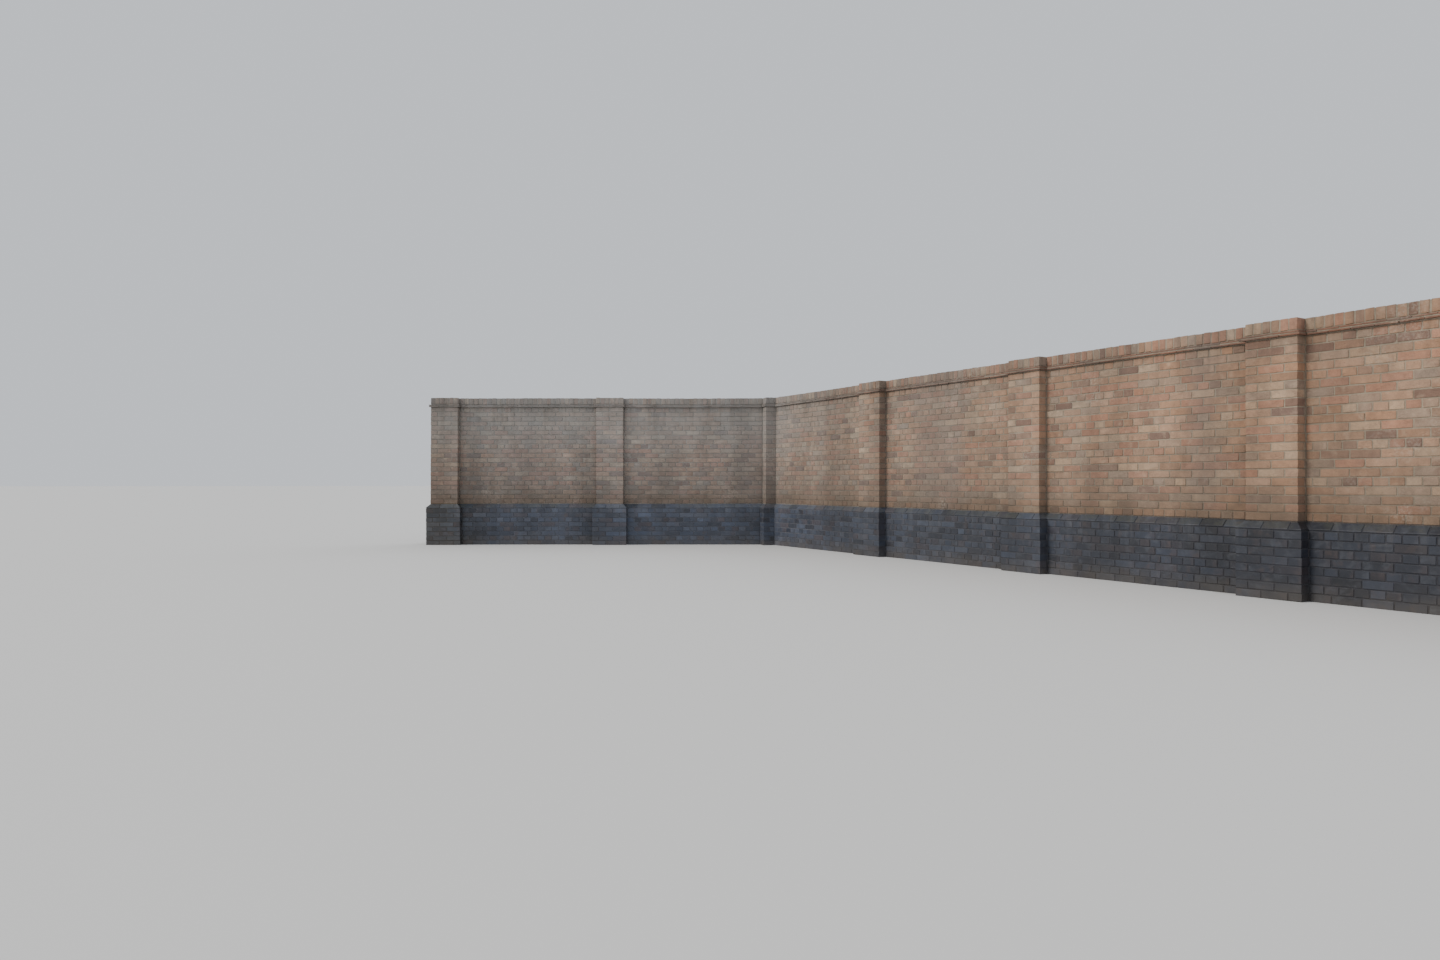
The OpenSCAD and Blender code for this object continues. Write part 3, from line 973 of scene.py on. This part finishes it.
def brick_material(name, kind, rough, bump_m, mottle):
    """kind is brick or blue: the same build with its own depth of pattern."""
    t = Tree(name)
    place = t.node("ShaderNodeTexCoord", "Object")
    off = t.attribute("off", "Vector")
    own = t.vec("ADD", place, off)
    base = t.attribute("col", "Color")
    chance = t.t.nodes.new("ShaderNodeSeparateColor")
    t.put(chance.inputs[0], t.node("ShaderNodeTexWhiteNoise", "Color", Vector=off))
    loc = t.t.nodes.new("ShaderNodeSeparateXYZ")
    t.put(loc.inputs[0], t.attribute("loc", "Vector"))
    clouds = t.noise(own, 14.0, 5.0, 0.62)
    grain = t.noise(own, 110.0, 4.0, 0.66)
    sand = t.noise(own, 560.0, 2.0, 0.5)
    depth = t.math("ADD", t.ramp(clouds, 0.28, 0.72, 1 - mottle, 1 + mottle, False),
                   t.math("ADD", t.ramp(grain, 0.3, 0.7, -0.13, 0.13, False),
                          t.ramp(sand, 0.3, 0.7, -0.10, 0.10, False)))
    colour = t.mix(1.0, base, t.node("ShaderNodeCombineColor", i0=depth, i1=depth, i2=depth),
                   "MULTIPLY")
    pits = t.node("ShaderNodeTexVoronoi", "Distance", props={"feature": "F1"}, Vector=own,
                  Scale=125.0, Randomness=1.0)
    size = t.ramp(t.noise(own, 38.0, 2.0, 0.5), 0.50, 0.72, 0.02, 0.34)
    pit = t.ramp(t.math("SUBTRACT", size, pits), 0.0, 0.10)
    # folds left by the mould, mostly lying along the brick
    fold = t.noise(t.vec("MULTIPLY", own, (13.0, 13.0, 36.0)), 1.0, 1.5, 0.5)
    crease = t.math("MULTIPLY", t.ramp(t.math("ABSOLUTE", t.math("SUBTRACT", fold, 0.5)),
                                       0.055, 0.004),
                    t.ramp(t.noise(own, 11.0, 3.0, 0.6), 0.46, 0.68))
    # one end of some bricks is burnt darker
    end = t.math("ADD", loc.outputs[0], t.ramp(clouds, 0.3, 0.7, -0.5, 0.5, False))
    burnt = t.math("MULTIPLY", t.ramp(end, 0.15, 0.85), t.ramp(chance.outputs[0], 0.62, 0.80))
    if kind == "brick":
        colour = t.mix(t.math("MULTIPLY", burnt, 0.38), colour, linear((112, 84, 70)))
        # kiln marks across some bricks, and pale lime specks
        marks = t.ramp(t.noise(own, 7.5, 4.0, 0.6), 0.54, 0.70)
        colour = t.mix(t.math("MULTIPLY", marks, 0.36), colour, linear((116, 88, 74)))
        pale = t.ramp(t.noise(t.vec("ADD", own, (3.0, 8.0, 1.0)), 9.0, 4.0, 0.6), 0.56, 0.72)
        colour = t.mix(t.math("MULTIPLY", pale, 0.28), colour, linear((190, 166, 140)))
        specks = t.ramp(t.noise(own, 240.0, 1.0, 0.5), 0.71, 0.76)
        colour = t.mix(t.math("MULTIPLY", specks, 0.4), colour, linear((192, 174, 150)))
        # painted shade: the mould creases darker
        colour = t.mix(t.math("MULTIPLY", crease, 0.24), colour, linear((104, 80, 66)))
    else:
        colour = t.mix(t.math("MULTIPLY", burnt, 0.30), colour, linear((78, 64, 60)))
        # the steel and purple flashes of a blue brick
        flash = t.ramp(t.noise(own, 9.0, 3.0, 0.55), 0.50, 0.72)
        colour = t.mix(t.math("MULTIPLY", flash, 0.34), colour, linear((76, 79, 86)))
        brown = t.ramp(t.noise(t.vec("ADD", own, (9.0, 3.0, 5.0)), 8.0, 3.0, 0.5), 0.58, 0.75)
        colour = t.mix(t.math("MULTIPLY", brown, 0.40), colour, linear((70, 57, 53)))
    # painted shade: the pits darker
    colour = t.mix(t.math("MULTIPLY", pit, 0.45), colour, linear((70, 58, 50)))
    colour, growth = weather(t, colour, place, "brick" if kind == "brick" else "blue")
    t.put(t.bsdf.inputs["Base Color"], colour)
    if isinstance(rough, tuple):
        t.put(t.bsdf.inputs["Roughness"],
              t.math("ADD", t.ramp(clouds, 0.3, 0.7, *rough, False),
                     t.math("MULTIPLY", growth, 0.12), clamp=True))
    else:
        t.put(t.bsdf.inputs["Roughness"], rough)
    if not bump_m:
        return t.m
    drag = t.noise(t.vec("MULTIPLY", own, (9.0, 9.0, 46.0)), 1.0, 3.0, 0.6)
    height = t.math("ADD", t.math("MULTIPLY", grain, 0.60),
                    t.math("ADD", t.math("MULTIPLY", sand, 0.22), t.math("MULTIPLY", clouds, 0.9)))
    height = t.math("ADD", height, t.math("MULTIPLY", drag, 0.35))
    height = t.math("SUBTRACT", height, t.math("MULTIPLY", pit, 0.35))
    if kind == "brick":
        height = t.math("SUBTRACT", height, t.math("MULTIPLY", crease, 0.5))
        height = t.math("ADD", height, t.math("MULTIPLY", fold, 0.7))
    bump = t.node("ShaderNodeBump", Strength=1.0, Distance=bump_m, Height=height)
    t.put(t.bsdf.inputs["Normal"], bump)
    return t.m


def mortar_material(name, kind, bump_m):
    t = Tree(name)
    place = t.node("ShaderNodeTexCoord", "Object")
    base = t.attribute("col", "Color")
    patches = t.noise(place, 5.0, 5.0, 0.62)
    grit = t.noise(place, 380.0, 3.0, 0.65)
    depth = t.math("ADD", t.ramp(patches, 0.3, 0.7, 0.84, 1.10, False),
                   t.ramp(grit, 0.3, 0.7, -0.12, 0.12, False))
    colour = t.mix(1.0, base, t.node("ShaderNodeCombineColor", i0=depth, i1=depth, i2=depth),
                   "MULTIPLY")
    stones = t.ramp(t.noise(place, 620.0, 1.0, 0.5), 0.66, 0.72)
    colour = t.mix(t.math("MULTIPLY", stones, 0.45), colour, linear((104, 92, 78)))
    colour, growth = weather(t, colour, place, kind)
    t.put(t.bsdf.inputs["Base Color"], colour)
    t.put(t.bsdf.inputs["Roughness"], 0.94)
    if bump_m:
        height = t.math("ADD", grit, t.math("MULTIPLY", t.noise(place, 80.0, 3.0, 0.6), 1.2))
        t.put(t.bsdf.inputs["Normal"],
              t.node("ShaderNodeBump", Strength=1.0, Distance=bump_m, Height=height))
    return t.m


facing = brick_material("pale_brick", "brick", 0.88, 0.0021, 0.18)
blue = brick_material("blue_brick", "blue", (0.42, 0.66), 0.0008, 0.18)
tile = brick_material("clay_tile", "brick", 0.82, 0.0, 0.16)
pale_mortar = mortar_material("pale_mortar", "mortar", 0.0013)
dark_mortar = mortar_material("dark_mortar", "blue", 0.0013)
bedding = mortar_material("bedding", "mortar", 0.0)


# ---------------------------------------------------------------- placing
def pier_centre(name):
    lo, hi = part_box(name + "_shaft")
    return np.array([(lo[0] + hi[0]) / 2, (lo[1] + hi[1]) / 2])


corner = pier_centre("corner_pier")
SIDE = TURN - math.pi / 2


def warp_to_corner(v, half, at_end):
    """Fans a straight bay's bricks out to the face of the turned corner pier. half
    is half the width of the pier's part that the bay meets."""
    a = TURN / 2
    reach = (half + (v[:, 1] * math.sin(a))) / math.cos(a)  # from the pier's centre
    v = v.copy()
    if at_end:
        x0, x1 = half, PITCH - half
        v[:, 0] = x0 + (v[:, 0] - x0) * (PITCH - reach - x0) / (x1 - x0)
    else:
        x0, x1 = PITCH - half, half
        v[:, 0] = x0 + (v[:, 0] - x0) * (x0 - reach) / (x0 - x1)
    return v


def settle(world):
    """The slow waves of a wall that has stood a while: a few millimetres, the same
    for every piece, so that neighbours stay together."""
    x, y, z = world.T
    rise = np.clip(z / 0.7, 0, 1)
    world[:, 0] += 0.0017 * rise * np.sin(1.31 * x + 0.83 * y + 1.9 * z + 0.4)
    world[:, 1] += 0.0021 * rise * np.sin(0.97 * x - 1.12 * y + 2.3 * z + 2.1)
    world[:, 2] += rise * (0.0019 * np.sin(1.73 * x - 1.21 * y + 0.9)
                           + 0.0009 * np.sin(4.1 * x + 3.3 * y + 1.7))
    return world


def aged(col, wu, slot, gain):
    """The bricks' colours along the wall: the back run is greyer above and paler below than its near end,
    its facing bricks greyed and cooled as painted shade, and the far left end is darker with painted shade."""
    # painted shade: the far left end darker, as it lies in a tree's shade
    left_end_shade = np.interp(wu, [-5.3, -4.7], [1.0, 0.0])
    if slot == "engineering_brick":  # the back run, the middle and the near end
        at = [0, 4, 8]
        tint = [(1.20, 0.95, 0.48), (1.23, 0.95, 0.48), (1.35, 1.00, 0.54)]
        left_end_shade_depth = (0.25, 0.35, 0.50)
    else:  # the back run, the side run past the corner, and the near end
        # painted shade: the back run's facing bricks greyer, and through the tints darker and cooler, as a
        # run turned from the light
        grey = np.interp(wu, [-5.4, 0, 3, 8], [0.42, 0.36, 0.17, 0.0])[:, None]
        col = col * (1 - grey) + linear((132, 129, 126)) * grey
        at = [-0.3, 0.3, 10]
        tint = [(0.85, 0.75, 0.97), (0.92, 0.78, 0.92), (1.00, 0.80, 0.87)]
        left_end_shade_depth = (0.30, 0.35, 0.40)
    shade = [np.interp(wu, at, t) * (1 - d * left_end_shade) for t, d in zip(tint, left_end_shade_depth)]
    return col * gain * np.stack(shade, -1)


def build(piece, centre, angle, along, slot, mats, warp=None, gain=1.0):
    """Turns the collected parts into one object at its place in the row frame."""
    v = np.concatenate(piece.v)
    loops, sizes = np.concatenate(piece.loops), np.concatenate(piece.sizes)
    places, order = bake_map(v, loops, sizes, np.concatenate(piece.kind),
                             np.concatenate(piece.box), piece.charts)
    if warp:
        v = warp_to_corner(v, *warp)
    c, s = math.cos(angle), math.sin(angle)
    rot = np.array([[c, -s, 0], [s, c, 0], [0, 0, 1.0]])
    wu = along + v[:, 0]
    world = settle(v @ rot.T + [centre[0], centre[1], 0.0])
    world[:, 2] = np.maximum(world[:, 2], 0.0)
    first = np.concatenate([[0], np.cumsum(sizes)[:-1]])
    sizes = sizes[order]
    starts = np.concatenate([[0], np.cumsum(sizes)[:-1]])
    corner_order = np.repeat(first[order] - starts, sizes) + np.arange(len(loops))
    loops, places = loops[corner_order], places[corner_order]
    me = bpy.data.meshes.new(piece.node + "_brickwork")
    me.vertices.add(len(world))
    me.vertices.foreach_set("co", world.astype(np.float32).ravel())
    me.loops.add(len(loops))
    me.loops.foreach_set("vertex_index", loops.astype(np.int32))
    me.polygons.add(len(sizes))
    me.polygons.foreach_set("loop_start", starts.astype(np.int32))
    me.polygons.foreach_set("material_index", np.concatenate(piece.mat)[order].astype(np.int32))
    me.update(calc_edges=True)
    sharp = me.attributes.new("sharp_face", "BOOLEAN", "FACE")
    sharp.data.foreach_set("value", np.concatenate(piece.flat)[order])
    layer = me.uv_layers.new(name="OFBake")
    layer.uv.foreach_set("vector", places.astype(np.float32).ravel())
    col = aged(np.concatenate(piece.col), wu, slot, gain)
    a = me.attributes.new("col", "FLOAT_COLOR", "POINT")
    a.data.foreach_set("color", np.c_[col, np.ones(len(col))].astype(np.float32).ravel())
    a = me.attributes.new("off", "FLOAT_VECTOR", "POINT")
    a.data.foreach_set("vector", np.concatenate(piece.off).astype(np.float32).ravel())
    a = me.attributes.new("loc", "FLOAT_VECTOR", "POINT")
    a.data.foreach_set("vector", np.concatenate(piece.loc).astype(np.float32).ravel())
    a = me.attributes.new("wu", "FLOAT", "POINT")
    a.data.foreach_set("value", (wu + 0.73 * v[:, 1] + 20).astype(np.float32))
    me.validate()
    for m in mats:
        me.materials.append(m)
    o = bpy.data.objects.new(piece.node + "_brickwork", me)
    bpy.context.scene.collection.objects.link(o)
    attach(o, "root")
    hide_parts(piece.node)
    return o


UPPER = (facing, pale_mortar)
LOWER = (blue, dark_mortar)
CREASE = (tile, bedding)
CAP = (facing, pale_mortar, tile)
seed = 100
piers = [("left_pier", 0.0), ("back_pier", 0.0), ("corner_pier", TURN / 2),
         ("side_pier_1", SIDE), ("side_pier_2", SIDE), ("side_pier_3", SIDE),
         ("right_pier", SIDE)]
for i, (name, angle) in enumerate(piers):
    at, along = pier_centre(name), (i - 2) * PITCH
    build(pier_base(name + "_base", seed + 1), at, angle, along, "engineering_brick", LOWER)
    # painted light: the gain makes the pier shafts' bricks 9% paler than the bays', standing in for their
    # sunlit faces
    build(pier_shaft(name + "_shaft", seed + 2), at, angle, along, "facing_brick", UPPER,
          gain=1.09)
    build(pier_cap(name + "_cap", seed + 3), at, angle, along, "coping_brick", CAP)
    seed += 10
for run, n in (("back", 2), ("side", 4)):
    for bay in range(1, n + 1):
        if run == "back":
            at, angle = pier_centre(("left_pier", "back_pier")[bay - 1]), 0.0
            along, at_end = (bay - 3) * PITCH, bay == n
            met = at_end
        else:
            at = pier_centre(("corner_pier", "side_pier_1", "side_pier_2", "side_pier_3")[bay - 1])
            angle, along, at_end = SIDE, (bay - 1) * PITCH, False
            met = bay == 1
        for part, make, slot, mats, half in (
            ("plinth", bay_plinth, "engineering_brick", LOWER, BASE / 2),
            ("wall", bay_wall, "facing_brick", UPPER, PIER / 2),
            ("creasing", bay_creasing, "creasing_tile", CREASE, HEAD / 2),
            ("coping", bay_coping, "coping_brick", UPPER, PIER / 2),
        ):
            seed += 1
            build(make(f"{run}_{part}_{bay}", seed), at, angle, along, slot, mats,
                  (half, at_end) if met else None)

# ---------------------------------------------------------------- stage
ground = bpy.data.meshes.new("floor")
ring = 96
ground.from_pydata(
    [(600 * math.cos(2 * math.pi * k / ring), 600 * math.sin(2 * math.pi * k / ring), 0.0)
     for k in range(ring)], [], [list(range(ring))])
floor = bpy.data.objects.new("floor", ground)
bpy.context.scene.collection.objects.link(floor)
fm = bpy.data.materials.new("floor")
fm.use_nodes = True
fm.node_tree.nodes["Principled BSDF"].inputs["Base Color"].default_value = (0.60, 0.59, 0.57, 1)
fm.node_tree.nodes["Principled BSDF"].inputs["Roughness"].default_value = 0.9
ground.materials.append(fm)
floor.location.z = -0.001

world = bpy.data.worlds.new("studio")
world.use_nodes = True
sky = world.node_tree.nodes["Background"]
sky.inputs["Color"].default_value = (0.86, 0.90, 0.96, 1)
sky.inputs["Strength"].default_value = 0.85
bpy.context.scene.world = world


def sun(name, strength, colour, azimuth, height, size):
    """A wide soft light: azimuth in degrees from +X, height above the horizon."""
    data = bpy.data.lights.new(name, "SUN")
    data.energy, data.color, data.angle = strength, colour, math.radians(size)
    o = bpy.data.objects.new(name, data)
    a, h = math.radians(azimuth), math.radians(height)
    towards = Vector((math.cos(a) * math.cos(h), math.sin(a) * math.cos(h), math.sin(h)))
    o.rotation_euler = towards.to_track_quat("Z", "Y").to_euler()
    o.location = towards * 20
    bpy.context.scene.collection.objects.link(o)


sun("key", 2.2, (1.0, 0.95, 0.885), 193, 36, 20)
sun("fill", 0.45, (0.74, 0.86, 1.0), 275, 40, 60)
sun("back", 0.5, (0.96, 0.97, 1.0), 40, 40, 50)

# ---------------------------------------------------------------- camera
cam = bpy.data.cameras.new("camera")
cam.lens, cam.sensor_width, cam.sensor_fit = 22.5, 36.0, "HORIZONTAL"
cam.clip_start, cam.clip_end = 0.05, 2000
camera = bpy.data.objects.new("camera", cam)
camera.location = (corner[0] - 0.900, corner[1] - 14.900, 0.984)
camera.rotation_euler = (math.radians(90.28), 0.0, 0.0)
bpy.context.scene.collection.objects.link(camera)
bpy.context.scene.camera = camera

bpy.context.view_layer.update()
